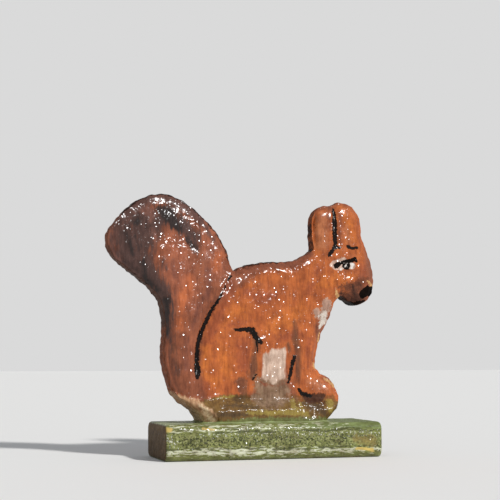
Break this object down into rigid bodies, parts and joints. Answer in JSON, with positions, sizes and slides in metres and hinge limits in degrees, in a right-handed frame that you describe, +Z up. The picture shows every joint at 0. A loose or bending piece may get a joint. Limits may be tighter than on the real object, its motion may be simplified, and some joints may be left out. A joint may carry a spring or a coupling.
{
  "type": "wooden squirrel figure",
  "caption": "Hand-painted wooden squirrel, sawn and whittled from a board, with a raised plume tail, glued and pinned upright on a rectangular painted wooden base block.",
  "frame": {"origin": "centre of the base block's underside", "axes": "+X along the base towards the nose, +Y through the board away from the pictured face, +Z up"},
  "size_m": [0.0957, 0.028, 0.0894],
  "materials": {
    "figure_paint": "brushed red-brown and orange paint under clear varnish",
    "base_paint": "stippled green paint, worn to ochre at the corners",
    "wood_glue": "dried wood glue",
    "pin_steel": "bright drawn wire"
  },
  "bodies": {
    "root": {"squirrel_figure": "figure_paint", "base_block": "base_paint", "glue_film": "wood_glue", "fixing_pin_tail_end": "pin_steel", "fixing_pin_nose_end": "pin_steel"}
  },
  "joints": []
}
